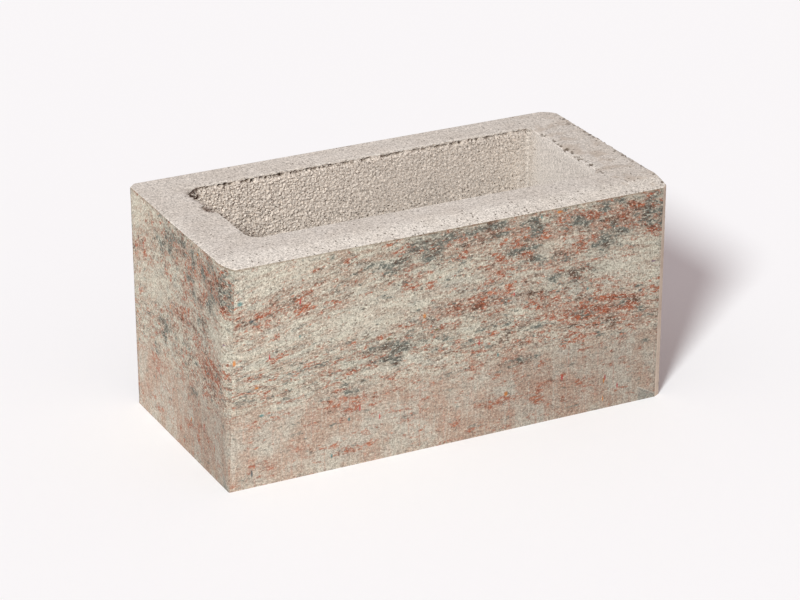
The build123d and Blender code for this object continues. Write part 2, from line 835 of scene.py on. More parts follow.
@dataclass(frozen=True)
class ColouredFace(Finish):
    """Outer face, where paints of several colours were mixed into the concrete and smeared along it."""

    name: str = "coloured_face"
    cream: Colour = paint(180, 174, 158)
    tan: Colour = paint(153, 133, 117)
    ash: Colour = paint(160, 156, 145)
    fair: Colour = paint(183, 175, 160)
    blush: Colour = paint(160, 134, 117)
    mist: Colour = paint(170, 161, 148)
    pale: Colour = paint(202, 196, 180)
    red: Colour = paint(142, 72, 48)
    orange: Colour = paint(160, 88, 56)
    rust: Colour = paint(152, 104, 84)
    slate: Colour = paint(87, 91, 85)
    smoke: Colour = paint(127, 126, 116)
    speck: Colour = paint(82, 64, 52)
    umber: Colour = paint(84, 62, 50)
    smear: Colour = paint(180, 171, 158)
    pink_smear: Colour = paint(172, 134, 118)
    rim_line: Colour = paint(120, 98, 78)
    scar: Colour = paint(192, 184, 172)
    scuff: Colour = paint(138, 141, 133)
    lower_third: Span = (0.080, 0.046)
    streak_stretch: Pair = (0.28, 1.0)
    mottles: Clouds = Clouds(7 * MM, 5.0, 0.75)
    cream_span: Span = (0.40, 0.58)
    ash_span: Span = (0.50, 0.64, 0.0, 0.7)
    sway: Span = (0.38, 0.62, 0.2, 1.5)
    tint_shares: Triple = (0.65, 0.5, 0.5)
    patch_stretch: Pair = (0.7, 0.7)
    patches: Clouds = Clouds(32 * MM, 3.0, 0.6)
    patch_span: Span = (0.42, 0.60)
    drag_stretch: Pair = (1.0, 0.06)
    drags: Clouds = Clouds(2.6 * MM, 3.0, 0.6)
    smear_span: Span = (0.5, 0.68, 0.0, 0.7)
    pink_span: Span = (0.56, 0.7, 0.0, 0.6)
    lower_share: float = 0.8
    band_stretch: Pair = (0.6, 1.0)
    brick_span: Span = (0.46, 0.58)
    red_flecks: Flecks = Flecks(31.0, 0.35, 0.588, 0.492, 0.65, 0.85)
    slate_flecks: Flecks = Flecks(57.0, 0.5, 0.618, 0.50, 0.65, 0.85)
    dark_flecks: Flecks = Flecks(83.0, 0.9, 0.60, 0.53, 0.25, 0.85)
    faint: Span = (0.0, 1.0, 1.0, 0.85)
    cream_hold: float = 0.8
    crumb_stretch: Pair = (0.65, 1.0)
    crumbs: Clouds = Clouds(1.6 * MM, 2.0, 0.6)
    crumb_share: float = 0.65
    crumb_loss: float = 0.28
    pale_span: Span = (0.55, 0.64)
    speck_span: Span = (0.41, 0.33)
    contrast: Span = (0.0, 1.0, 2.5, 2.3)
    fade: Span = (-0.17, 0.17, 1.10, 0.88)
    dim_from: Span = (-0.02, 0.1)
    dim: Span = (0.0, 1.0, 1.0, 0.88)
    line_depth: Span = (0.0020, 0.0012)
    line_share: float = 0.4
    scar_start: Pair = (0.1725, 0.0125)
    scar_slope: float = 0.55
    scar_width: float = 0.0008
    scar_heart: float = 0.25
    scar_share: float = 0.6
    drip_share: float = 0.8
    marks: tuple[Marks, ...] = (
        Marks(
            paint(170, 38, 46),
            (
                Drip(-131.8, 148.5),
                Drip(-158.3, 107.5),
                Drip(-64.5, 37.0),
                Drip(153.0, 18.0),
                Drip(23.8, 82.5),
                Drip(55.0, 118.5, 0.8, 2.0),
                Drip(100.5, 36.0, 1.2, 3.0),
                Drip(-81.8, 48.0),
                Drip(141.1, 27.7),
            ),
        ),
        Marks(
            paint(188, 112, 34),
            (
                Drip(48.8, 32.5, 2.0, 2.6),
                Drip(140.0, 25.0),
                Drip(139.5, 8.8),
                Drip(-25.0, 115.5, 1.8, 2.4),
                Drip(95.0, 181.3, 3.0, 1.2),
                Drip(-188.0, 108.5, 1.8, 3.0),
                Drip(-169.7, 84.0, 2.0, 1.2),
            ),
        ),
        Marks(
            paint(74, 120, 118),
            (
                Drip(-182.0, 156.3, 2.6, 2.4),
                Drip(-91.3, 40.5, 1.4, 2.0),
                Drip(122.5, 110.0, 1.6, 1.6),
                Drip(-166.0, 59.9, 2.6, 1.4),
                Drip(-106.7, 12.0, 1.2, 2.4),
                Drip(78.8, 179.6, 1.0, 1.4),
                Drip(-132.5, 120.0, 1.0, 1.4),
                Drip(41.0, 68.5, 1.2, 2.2),
            ),
        ),
        Marks(paint(96, 80, 44), (Drip(-56.0, 102.0, 2.6, 1.5), Drip(-14.2, 101.8, 2.4, 1.3))),
        Marks(paint(92, 64, 92), (Drip(183.7, 122.6, 2.6, 0.8),)),
        Marks(
            paint(66, 78, 82),
            (Drip(-175.4, 12.0, 1.3, 4.0), Drip(-172.6, 140.3, 2.6, 1.5), Drip(171.8, 99.3, 2.0, 1.5)),
        ),
    )

    def dripped(self, graph: Graph, groups: Groups, place: object, colour: object) -> Socket:
        """Adds the small marks of undiluted paint.

        Args:
            graph: The material's graph.
            groups: Shared node groups.
            place: Output with the place on the face.
            colour: Colour so far.

        Returns:
            Colour with the marks.
        """
        for marks in self.marks:
            total = None
            for drip in marks.drips:
                middle = (drip.along * MM, drip.up * MM, 0.0)
                reach = (drip.half_width * MM, drip.half_height * MM, 1.0)
                mask = graph.spot(groups.drip, place, middle, reach)
                total = mask if total is None else graph.math("MAXIMUM", total, mask)
            colour = graph.cover(colour, total, self.drip_share, marks.tint)
        return colour

    def scarred(self, graph: Graph, across: object, up: object, colour: object) -> Socket:
        """Adds the scrape across the lower right corner: a pale line with scuffed grey below it.

        Args:
            graph: The material's graph.
            across: Output with how far along the face a place is.
            up: Output with how high it is.
            colour: Colour so far.

        Returns:
            Colour with the scrape.
        """
        run = graph.minus(across, self.scar_start[0])
        fall = graph.times(run, self.scar_slope)
        above = graph.plus(graph.minus(up, self.scar_start[1]), fall)
        started = graph.ramp(run, -self.scar_width, 2 * self.scar_width)
        below = graph.times(graph.ramp(above, 0.0, -self.scar_width), started)
        colour = graph.cover(colour, below, self.scar_share, self.scuff)
        near = graph.ramp(graph.math("ABSOLUTE", above), self.scar_width, self.scar_heart * self.scar_width)
        return graph.cover(colour, graph.times(near, started), self.scar_share, self.scar)

    @staticmethod
    def stretched(graph: Graph, place: object, stretch: Pair) -> Socket:
        """Stretches a place on the face, so that a pattern on it comes out long, and returns it."""
        return graph.vector("MULTIPLY", place, (*stretch, 1.0))

    def draw(self, graph: Graph, groups: Groups) -> Look:
        """Draws smeared flecks of red, slate and umber on tan, thick where the paint plan has streaks.

        Args:
            graph: The material's graph.
            groups: Shared node groups.

        Returns:
            Colour and height outputs.
        """
        place = graph.add("UVMap", uv_map=PATTERN_MAP).outputs[0]
        flow = graph.add("UVMap", uv_map=FLOW_MAP).outputs[0]
        solid = graph.add("TexCoord").outputs["Object"]
        across, up, _ = graph.add("SeparateXYZ", {0: place}).outputs
        lower = graph.ramp(up, *self.lower_third)
        painted = graph.add("Attribute", attribute_name=PAINT_ATTRIBUTE)
        much_red, much_slate, much_cream = graph.channels(painted.outputs["Color"])

        # Ground of tan, cream and ash, streaked along the bands and tinted where a paint gathers
        streaks = self.stretched(graph, flow, self.streak_stretch)
        mottles = graph.channels(graph.noise(streaks, self.mottles).outputs["Color"])
        colour = graph.mix(graph.ramp(mottles[0], *self.cream_span), self.tan, self.cream)
        colour = graph.mix(graph.ramp(mottles[1], *self.ash_span), colour, self.ash)
        sway = graph.ramp(mottles[2], *self.sway)
        tints = ((much_cream, self.fair), (much_red, self.rust), (much_slate, self.smoke))
        for (amount, tint), share in zip(tints, self.tint_shares):
            colour = graph.mix(graph.times(graph.times(amount, sway), share, clamp=True), colour, tint)

        # Lower third, where the mould dragged along the face: soft patches and upright smears
        patches = self.stretched(graph, flow, self.patch_stretch)
        soft = graph.mottle(patches, self.patches, self.patch_span, self.blush, self.mist)
        upright = self.stretched(graph, flow, self.drag_stretch)
        drags = graph.channels(graph.noise(upright, self.drags).outputs["Color"])
        soft = graph.mix(graph.ramp(drags[0], *self.smear_span), soft, self.smear)
        soft = graph.mix(graph.ramp(drags[1], *self.pink_span), soft, self.pink_smear)
        colour = graph.cover(colour, lower, self.lower_share, soft)

        # Flecks of each paint, with a cloud of thinner paint round them
        bands = self.stretched(graph, flow, self.band_stretch)
        much_dark = graph.math("MAXIMUM", much_red, much_slate)
        brick = graph.mix(graph.ramp(mottles[1], *self.brick_span), self.red, self.orange)
        faint = graph.ramp(lower, *self.faint)
        paints = (
            (self.red_flecks, much_red, self.rust, brick),
            (self.slate_flecks, much_slate, self.smoke, self.slate),
            (self.dark_flecks, much_dark, self.umber, self.umber),
        )
        for plan, amount, thin, thick in paints:
            amount = graph.minus(amount, graph.times(much_cream, self.cream_hold))
            amount = graph.minus(amount, graph.times(lower, plan.less_below))
            feeds = {"Flow": bands, "Seed": plan.seed, "Amount": amount, "Few": plan.few, "Many": plan.many}
            flecks = graph.group(groups.flecks, feeds).outputs
            colour = graph.cover(colour, graph.times(flecks["Cloud"], faint), plan.thin_share, thin)
            colour = graph.cover(colour, graph.times(flecks["Heart"], faint), plan.thick_share, thick)

        # Crumbs of pale and dark sand, then the single marks
        crumbs = graph.noise(self.stretched(graph, flow, self.crumb_stretch), self.crumbs).outputs[0]
        share = graph.minus(self.crumb_share, graph.times(lower, self.crumb_loss))
        colour = graph.cover(colour, graph.ramp(crumbs, *self.pale_span), share, self.pale)
        colour = graph.cover(colour, graph.ramp(crumbs, *self.speck_span), share, self.speck)
        colour = self.dripped(graph, groups, place, colour)
        colour = self.scarred(graph, across, up, colour)

        # Grain, the fall in tone towards the right, and a thin dark line along the rim
        colour, height = self.sanded(graph, groups, solid, colour, graph.ramp(lower, *self.contrast))
        limits = dict(zip(("From Min", "From Max", "To Min", "To Max"), self.fade))
        colour = graph.toned(colour, graph.add("MapRange", {"Value": across, **limits}).outputs[0])
        dim = graph.times(graph.ramp(across, *self.dim_from), lower)
        colour = graph.toned(colour, graph.ramp(dim, *self.dim))
        line = graph.ramp(painted.outputs["Alpha"], *self.line_depth)
        colour = graph.cover(colour, line, self.line_share, self.rim_line)
        return colour, graph.plus(height, crumbs)


@dataclass
class BlockCasting:
    """The hollow casting. Sizes are in metres, and the walls are measured at the top face."""

    low: Vector
    high: Vector
    front_slope_width: float = 15.5 * MM
    front_slope_drop: float = 5.0 * MM
    front_bend: float = 5.0 * MM
    edge_radius: float = 1.0 * MM
    end_wall: float = 39 * MM
    front_wall: float = 40 * MM
    back_wall: float = 31 * MM
    wall_taper: float = 5 * MM
    core_radius: float = 12 * MM
    lip_radius: float = 0.4 * MM
    far_corner_radius: float = 3 * MM
    left_roll_width: float = 8 * MM
    left_roll_drop: float = 1.0 * MM
    left_roll_back: Pair = (60 * MM, 0.0)
    left_roll_front: Pair = (-90 * MM, -72 * MM)
    soft_lip_reach: float = 6 * MM
    soft_lip_drop: float = 0.9 * MM
    corner_reach: float = 22 * MM
    corner_steps: int = 12
    halves_cuts: int = 89
    end_cuts: int = 59
    rim_rows: int = 18
    bed_rows: int = 6
    face_stretches: tuple = ((10 * MM, 5), (172 * MM, 24), (8 * MM, 2))
    core_stretches: tuple = ((75 * MM, 54), (115 * MM, 18))
    fine_wall: Pair = (3 * MM, 64 * MM)
    patch_grain: float = 5 * MM
    patch_sway: float = 6 * MM
    smooth_end: Pair = (1 * MM, 4 * MM)
    opening_end: Pair = (22 * MM, 2 * MM)
    opening_back: Pair = (0.0, 16 * MM)
    half_open: float = 0.6
    smooth_angle: float = 50.0
    corners: tuple[Corner, ...] = (
        Corner(right=False, back=False, top=(9.5, 11.0), bed=(0.6, 0.6), roundness=0.25),
        Corner(right=True, back=False, top=(4.2, 3.0), bed=(5.6, 3.0)),
        Corner(right=False, back=True, top=(5.5, 6.0), bed=(8.0, 8.0)),
        Corner(right=True, back=True, top=(11.5, 10.0), bed=(6.0, 6.0), roundness=0.5, fade=5.0),
    )
    bites: tuple[Bite, ...] = (
        Bite((159.0, 43.7, 191.4), 3.2),
        Bite((158.0, 6.0, 191.4), 3.4),
        Bite((155.5, -10.7, 190.5), 2.8),
        Bite((157.6, -17.4, 191.4), 3.4),
        Bite((157.4, -34.0, 191.4), 3.0),
        Bite((196.2, 29.0, 190.8), 2.4),
        Bite((196.2, 7.5, 190.8), 2.8),
        Bite((196.2, -8.5, 190.8), 2.6),
        Bite((196.2, -31.0, 190.8), 3.2),
        Bite((196.2, -37.5, 190.8), 2.6),
        Bite((196.2, -60.0, 190.8), 2.8),
    )
    breaks: tuple[Break, ...] = (
        Break(39.5, 58.0, 3.0),
        Break(25.5, 39.5, 0.2),
        Break(11.0, 25.5, 3.8),
        Break(-60.0, 11.0, -1.4),
    )
    break_depth: float = 11 * MM
    break_reach: float = 13 * MM
    break_grain: float = 2.5 * MM
    break_ragged: float = 0.45
    bite_grain: float = 3 * MM
    bite_ragged: float = 0.35
    reliefs: tuple[Relief, ...] = (
        Relief("grain", 1.0 * MM, 0.32 * MM, level=0.5, contrast=1.4),
        Relief("holes", 1.4 * MM, 1.0 * MM, contrast=4.0, brightness=2.3),
        Relief("ledge", 2.6 * MM, 3.6 * MM, contrast=3.0),
        Relief("crumble", 2.2 * MM, 4.0 * MM, contrast=2.5, brightness=0.9),
        Relief("chips", 2.4 * MM, 0.5 * MM, contrast=4.0, brightness=1.6),
        Relief("skin", 7.0 * MM, 0.3 * MM),
    )
    plan: PaintPlan = PaintPlan()
    worn: WearPlan = WearPlan()
    piece: Piece = field(init=False, default=None)

    @property
    def size(self) -> Vector:
        """Length, width and height."""
        return self.high - self.low

    @property
    def core_size(self) -> Pair:
        """Length and width of the core at the top face."""
        return self.size.x - 2 * self.end_wall, self.size.y - self.front_wall - self.back_wall

    @property
    def core_middle(self) -> float:
        """How far the core's middle lies behind the block's."""
        return (self.front_wall - self.back_wall) / 2

    def build(self) -> Piece:
        """Models the casting.

        Returns:
            The piece, at the origin, with its place in its mesh.
        """
        top = self.high.z
        outside = self.draw_loop((self.size.x, self.size.y), (0.0, 0.0, top), self.corner_reach)
        inside = self.draw_loop(self.core_size, (0.0, self.core_middle, top), self.core_radius)
        self.join_loops(outside, inside)
        self.draw_wall(self.face_stretches, outer=True)
        self.draw_wall(self.core_stretches, outer=False)
        self.close_bed()
        self.refine_wall()
        self.mark_zones()
        self.round_edges()
        ends = self.find_ends()
        self.shape()
        self.place_pattern(ends)
        self.wear()
        self.finish_mesh()
        return self.piece

    def draw_loop(self, size: Pair, middle: Triple, radius: float) -> Piece:
        """Draws a closed line: a rectangle with round corners, cut into short edges.

        Args:
            size: Length and width.
            middle: Its middle.
            radius: Radius of its corners.

        Returns:
            An object with only that line.
        """
        bpy.ops.object.select_all(action="DESELECT")
        bpy.ops.mesh.primitive_plane_add(size=1.0, location=(0.0, 0.0, 0.0))
        line = bpy.context.object
        bpy.ops.object.mode_set(mode="EDIT")
        bpy.ops.mesh.select_all(action="SELECT")
        bpy.ops.transform.resize(value=(size[0], size[1], 1.0))
        bpy.ops.mesh.bevel(offset=radius, affect="VERTICES", segments=self.corner_steps)
        bpy.ops.mesh.delete(type="ONLY_FACE")
        for axis, cuts in ((0, 1), (0, self.halves_cuts), (1, self.end_cuts)):
            self.select_edges(line, lambda e: abs((e.verts[0].co - e.verts[1].co)[axis]) > 2 * radius)
            bpy.ops.mesh.subdivide(number_cuts=cuts)
        bpy.ops.mesh.select_all(action="SELECT")
        bpy.ops.transform.translate(value=middle)
        bpy.ops.object.mode_set(mode="OBJECT")
        return line

    def select_edges(self, piece: Piece, test: Callable[[bmesh.types.BMEdge], bool]) -> None:
        """Selects the edges that pass a test, and nothing else, in edit mode.

        Args:
            piece: Object in edit mode.
            test: Says whether an edge is wanted.
        """
        bpy.ops.mesh.select_mode(type="EDGE")
        bpy.ops.mesh.select_all(action="DESELECT")
        mesh = bmesh.from_edit_mesh(piece.data)
        for edge in mesh.edges:
            if test(edge):
                edge.select_set(True)
        bmesh.update_edit_mesh(piece.data)

    def is_outer(self, place: Vector) -> bool:
        """Says whether a place lies nearer to the outside than to the core."""
        margin = self.back_wall / 2
        return abs(place.x) > self.size.x / 2 - margin or abs(place.y) > self.size.y / 2 - margin

    def join_loops(self, outside: Piece, inside: Piece) -> None:
        """Joins the two lines and fills the rim between them.

        Args:
            outside: Outline of the block.
            inside: Outline of the core.
        """
        bpy.ops.object.select_all(action="DESELECT")
        inside.select_set(True)
        outside.select_set(True)
        bpy.context.view_layer.objects.active = outside
        bpy.ops.object.join()
        self.piece = outside
        self.piece.name = "fence_block_casting"
        self.piece.data.name = self.piece.name
        bpy.ops.object.mode_set(mode="EDIT")
        bpy.ops.mesh.select_all(action="SELECT")
        bpy.ops.mesh.bridge_edge_loops(number_cuts=self.rim_rows - 1, interpolation="LINEAR")

    def draw_wall(self, stretches: tuple, outer: bool) -> None:
        """Draws a wall down from the rim, one stretch of rows after another.

        Args:
            stretches: Depth and number of rows of each stretch.
            outer: True for the outside, False for the core.
        """
        for depth, rows in stretches:
            self.select_edges(self.piece, lambda e: e.is_boundary and self.is_outer(e.verts[0].co) == outer)
            bpy.ops.mesh.extrude_edges_move(TRANSFORM_OT_translate={"value": (0.0, 0.0, -depth)})
            upright = depth * 0.9
            self.select_edges(
                self.piece,
                lambda e: abs(e.verts[0].co.z - e.verts[1].co.z) > upright
                and self.is_outer(e.verts[0].co) == outer,
            )
            bpy.ops.mesh.subdivide(number_cuts=rows - 1)

    def close_bed(self) -> None:
        """Fills the bed between the feet of the two walls."""
        self.select_edges(self.piece, lambda e: e.is_boundary)
        bpy.ops.mesh.bridge_edge_loops(number_cuts=self.bed_rows - 1, interpolation="LINEAR")
        bpy.ops.mesh.select_all(action="SELECT")
        bpy.ops.mesh.normals_make_consistent(inside=False)

    def refine_wall(self) -> None:
        """Cuts the core's back wall finer where it shows, for its grain."""
        bpy.ops.mesh.select_mode(type="FACE")
        bpy.ops.mesh.select_all(action="DESELECT")
        steep = 0.5
        back = self.core_size[1] / 2 + self.core_middle - self.core_radius
        mesh = bmesh.from_edit_mesh(self.piece.data)
        for face in mesh.faces:
            middle = face.calc_center_median()
            in_core = not self.is_outer(middle) and abs(face.normal.z) < steep
            shallow = self.fine_wall[0] < self.high.z - middle.z < self.fine_wall[1]
            face.select_set(in_core and shallow and middle.y > back)
        bmesh.update_edit_mesh(self.piece.data)
        bpy.ops.mesh.subdivide(number_cuts=1)

    def mark_zones(self) -> None:
        """Gives each face the material slot of its zone."""
        flat = 0.9
        mesh = bmesh.from_edit_mesh(self.piece.data)
        for face in mesh.faces:
            if face.normal.z > flat:
                zone = Zone.RIM
            elif face.normal.z < -flat:
                zone = Zone.BED
            else:
                zone = Zone.FACE if self.is_outer(face.calc_center_median()) else Zone.CORE
            face.material_index = zone.value
        bmesh.update_edit_mesh(self.piece.data)

    def round_edges(self) -> None:
        """Rounds the outer edge of the rim and the lip of the core."""
        for wall, radius in ((Zone.FACE, self.edge_radius), (Zone.CORE, self.lip_radius)):
            self.select_edges(
                self.piece,
                lambda e: {f.material_index for f in e.link_faces} == {Zone.RIM.value, wall.value},
            )
            bpy.ops.mesh.bevel(offset=radius, segments=2, affect="EDGES", material=Zone.RIM.value)
        bpy.ops.object.mode_set(mode="OBJECT")

    def corner_turn(self, places: np.ndarray, corner: Corner) -> tuple[np.ndarray, np.ndarray, np.ndarray]:
        """Finds what lies in a corner of the plan, before it is cut.

        Args:
            places: Places, a row each.
            corner: The corner.

        Returns:
            Whether each place is in the corner, how far round it is, from 0 at the end to 3 at the long
            side, and how far out, from 0 to 1.
        """
        heart = np.array(self.size.xy) / 2 - self.corner_reach
        spoke = places[:, :2] * corner.sign - heart
        inside = (spoke > TINY).all(1)
        turn = np.arctan2(spoke[:, 1], spoke[:, 0]) / (math.pi / 2) * 3
        return inside, turn, np.linalg.norm(spoke, axis=1) / self.corner_reach

    def find_ends(self) -> np.ndarray:
        """Says which faces belong to the ends, cut corners included, and bares the front's right edge.

        Returns:
            True for each face of an end.
        """
        mesh = self.piece.data
        middles = read(mesh.polygons, "center", 3, float)
        zones = read(mesh.polygons, "material_index")
        gap = np.array(self.size.xy) / 2 - np.abs(middles[:, :2])
        ends = gap[:, 0] < gap[:, 1]
        for corner in self.corners:
            inside, turn, _ = self.corner_turn(middles, corner)
            ends[inside] = turn[inside] < 2
            if corner.right and not corner.back:
                zones[inside & (turn > 1) & (turn < 2) & (zones == Zone.FACE.value)] = Zone.BED.value
        mesh.polygons.foreach_set("material_index", zones)
        return ends

    def shape(self) -> None:
        """Gives the core its taper, the upright edges their cuts and the rim its soft edges and slope."""
        mesh = self.piece.data
        places = read(mesh.vertices, "co", 3, float)
        places = self.softened(self.tapered(self.sharpened(places)))
        for corner in self.corners:
            places = self.cut(places, corner)
        places[:, 2] *= 1.0 - self.roll(places[:, 1]) / self.size.z
        mesh.vertices.foreach_set("co", places.ravel())
        mesh.update()

    def softened(self, places: np.ndarray) -> np.ndarray:
        """Rolls the rim's left edge over and rounds the lip of the core's right end.

        Args:
            places: Vertex places.

        Returns:
            The places with softer edges.
        """
        x, y, z = places.T
        over = np.clip(1.0 - (x - self.low.x) / self.left_roll_width, 0.0, 1.0) ** 2
        over *= ease(*self.left_roll_back, y) * ease(*self.left_roll_front, y)
        end = self.core_size[0] / 2
        half = self.core_size[1] / 2
        across = ease(half, half - self.core_radius, np.abs(y - self.core_middle))
        past, deep = x - end, self.high.z - z
        on_rim = (past >= -self.lip_radius) & (deep <= self.lip_radius)
        on_wall = (np.abs(past) < self.wall_taper) & (deep > self.lip_radius)
        made = places.copy()
        made[:, 2] -= over * self.left_roll_drop * z / self.size.z
        made[:, 2] -= on_rim * across * ease(self.soft_lip_reach, 0.0, past) * self.soft_lip_drop
        made[:, 0] += on_wall * across * ease(self.soft_lip_reach, 0.0, deep) * self.soft_lip_drop
        return made

    def core_gaps(self, places: np.ndarray) -> tuple[np.ndarray, np.ndarray]:
        """Measures how far places are from the core's right end and from its back wall.

        Args:
            places: Vertex places.

        Returns:
            The distances from the end and from the back wall.
        """
        x, y, z = places.T
        lean = self.wall_taper * (self.high.z - z) / self.size.z
        length, width = self.core_size
        return length / 2 - lean - x, width / 2 - lean - (y - self.core_middle)

    def openness(self, places: np.ndarray) -> np.ndarray:
        """Says how open the grain of the core's walls is: it closes towards the smooth right end.

        Args:
            places: Vertex places.

        Returns:
            A share for each vertex, 0 where smooth and 1 where open.
        """
        patchy = self.patch_sway * np.array([noise.noise(Vector(p) / self.patch_grain) for p in places])
        from_end, from_back = self.core_gaps(places)
        at_end = self.half_open * ease(*self.opening_end, from_back + patchy)
        at_back = self.half_open + (1.0 - self.half_open) * ease(*self.opening_back, from_end + patchy)
        share = ease(*self.smooth_end, from_end)
        return at_end * (1.0 - share) + at_back * share

    def corner_painted_shade(self, places: np.ndarray) -> np.ndarray:
        """Says how much painted shade darkens the core's back right corner.

        Args:
            places: Vertex places.

        Returns:
            A share for each vertex.
        """
        from_end, from_back = self.core_gaps(places)
        near = ease(*self.worn.corner_shade_reach, from_end) * ease(*self.worn.corner_shade_reach, from_back)
        return self.worn.corner_shade_share * self.zone_share(Zone.CORE) * near

    def roll(self, across: np.ndarray) -> np.ndarray:
        """Says how far the top sinks towards the front: level, then a soft bend, then a straight slope.

        Args:
            across: Places across the block, along Y.

        Returns:
            How far each sinks.
        """
        past = self.low.y + self.front_slope_width - across
        bend = np.clip(past + self.front_bend, 0.0, 2 * self.front_bend) ** 2 / (4 * self.front_bend)
        straight = np.clip(past - self.front_bend, 0.0, None)
        return (bend + straight) * self.front_slope_drop / self.front_slope_width

    def sharpened(self, places: np.ndarray) -> np.ndarray:
        """Makes the core's back right corner sharper than the others.

        Args:
            places: Vertex places.

        Returns:
            The places with the sharper corner.
        """
        heart = np.array(self.core_size) / 2 - self.core_radius
        spoke = places[:, :2] - (0.0, self.core_middle) - heart
        reach = np.linalg.norm(spoke, axis=1)
        inside = (spoke > 0.0).all(1) & (reach > 0.0)
        spoke, reach = spoke[inside], reach[inside, None]
        square = spoke / np.abs(spoke).max(1, keepdims=True) * self.core_radius
        inner = self.core_radius - self.far_corner_radius
        past = np.clip(square - inner, 0.0, None)
        stretch = np.linalg.norm(past, axis=1, keepdims=True)
        arc = np.divide(past, stretch, out=np.zeros_like(past), where=stretch > 0) * self.far_corner_radius
        outline = np.where((square > inner).all(1, keepdims=True), inner + arc, square)
        fade = np.clip(1.0 - (reach - self.core_radius) / self.back_wall, 0.0, 1.0)
        made = places.copy()
        made[inside, :2] += (outline - spoke / reach * self.core_radius) * fade
        return made

    def tapered(self, places: np.ndarray) -> np.ndarray:
        """Moves the core's walls in towards its axis, more the deeper they are.

        Args:
            places: Vertex places.

        Returns:
            The places with the taper.
        """
        half = np.array(self.core_size) / 2 - self.core_radius
        flat = places[:, :2] - (0.0, self.core_middle)
        spoke = flat - np.clip(flat, -half, half)
        reach = np.linalg.norm(spoke, axis=1, keepdims=True)
        depth = (self.high.z - places[:, 2:]) / self.size.z
        near = np.clip(1.0 - (reach - self.core_radius) / self.back_wall, 0.0, 1.0)
        inward = np.divide(spoke, reach, out=np.zeros_like(spoke), where=reach > 0)
        made = places.copy()
        made[:, :2] -= inward * depth * near * self.wall_taper
        return made

    def cut(self, places: np.ndarray, corner: Corner) -> np.ndarray:
        """Cuts an upright edge off.

        Args:
            places: Vertex places.
            corner: Where the edge is and how far it is cut.

        Returns:
            The places with the cut.
        """
        inside, turn, out = self.corner_turn(places, corner)
        turn, out = turn[inside, None], out[inside, None]
        share = (places[inside, 2:] / self.size.z) ** corner.fade
        sizes = np.array(corner.bed) * (1 - share) + np.array(corner.top) * share
        length, width = np.split(sizes * MM, 2, axis=1)
        reach = np.full_like(length, self.corner_reach)
        zero = np.zeros_like(length)
        ends = ((reach, zero), (reach, reach - width), (reach - length, reach), (zero, reach))
        stops = [np.hstack(end) for end in ends]
        legs = [a + (b - a) * np.clip(turn - k, 0.0, 1.0) for k, (a, b) in enumerate(zip(stops, stops[1:]))]
        angle = np.clip(turn - 1, 0.0, 1.0) * math.pi / 2
        arc = np.hstack([reach - length + length * np.cos(angle), reach - width + width * np.sin(angle)])
        legs[1] += (arc - legs[1]) * corner.roundness
        outline = np.where(turn < 1, legs[0], np.where(turn < 2, legs[1], legs[2]))
        heart = np.array(self.size.xy) / 2 - self.corner_reach
        made = places.copy()
        made[inside, :2] = (heart + outline * out) * corner.sign
        return made

    def place_pattern(self, ends: np.ndarray) -> None:
        """Lays the pattern on the outer faces: its map, its bands and how much of each paint there is.

        Args:
            ends: True for each face of an end, where the pattern is squeezed.
        """
        mesh = self.piece.data
        corners = read(mesh.loops, "vertex_index")
        owner = np.repeat(np.arange(len(mesh.polygons)), read(mesh.polygons, "loop_total"))
        middles = read(mesh.polygons, "center", 3, float)[owner]
        x, y, up = read(mesh.vertices, "co", 3, float)[corners].T / MM
        right, back, end = middles[:, 0] > 0, middles[:, 1] > 0, ends[owner]
        along = np.where(end, -y * self.size.x / self.size.y, np.where(back, -x, x))
        seed = np.where(end, np.where(right, 1.0, 0.0), np.where(back, 2.0, 0.0))
        flow = np.stack([along + seed * FACE_STEP, self.plan.flow(along, up)], 1)
        for name, values in ((PATTERN_MAP, np.stack([along, up], 1)), (FLOW_MAP, flow)):
            layer = mesh.uv_layers.new(name=name)
            layer.uv.foreach_set("vector", (values * MM).astype(np.float32).ravel())
        amounts = np.zeros((len(mesh.loops), 4), np.float32)
        outer = read(mesh.polygons, "material_index")[owner] == Zone.FACE.value
        amounts[outer, :3] = self.plan.amounts(along[outer], up[outer], seed[outer])
        below_rim = self.high.z - up * MM / (1.0 - self.roll(y * MM) / self.size.z)
        amounts[outer, 3] = below_rim[outer]
        layer = mesh.attributes.new(PAINT_ATTRIBUTE, "FLOAT_COLOR", "CORNER")
        layer.data.foreach_set("color", amounts.ravel())

    def broken(self, places: np.ndarray) -> tuple[np.ndarray, np.ndarray]:
        """Breaks the core's left lip back in ragged steps.

        Args:
            places: Vertex places.

        Returns:
            The places with the broken lip, and how far each has moved.
        """
        x, y, z = places.T
        along = y / MM
        step = np.zeros(len(places))
        for gone in self.breaks:
            begun = ease(gone.start - gone.soft, gone.start + gone.soft, along)
            step += gone.back * MM * begun * ease(gone.end + gone.soft, gone.end - gone.soft, along)
        ragged = np.array([noise.noise(Vector(p) / self.break_grain) for p in places])
        past_lip = np.clip(-self.core_size[0] / 2 - x, 0.0, None)
        left = x < -self.core_size[0] / 2 + self.core_radius
        outer = np.clip(1.0 - past_lip / self.break_reach, 0.0, 1.0)
        shallow = ease(self.break_depth, self.break_depth / 3, self.high.z - z)
        moved = left * step * (1.0 + self.break_ragged * ragged) * outer * shallow
        made = places.copy()
        made[:, 0] -= moved
        return made, moved

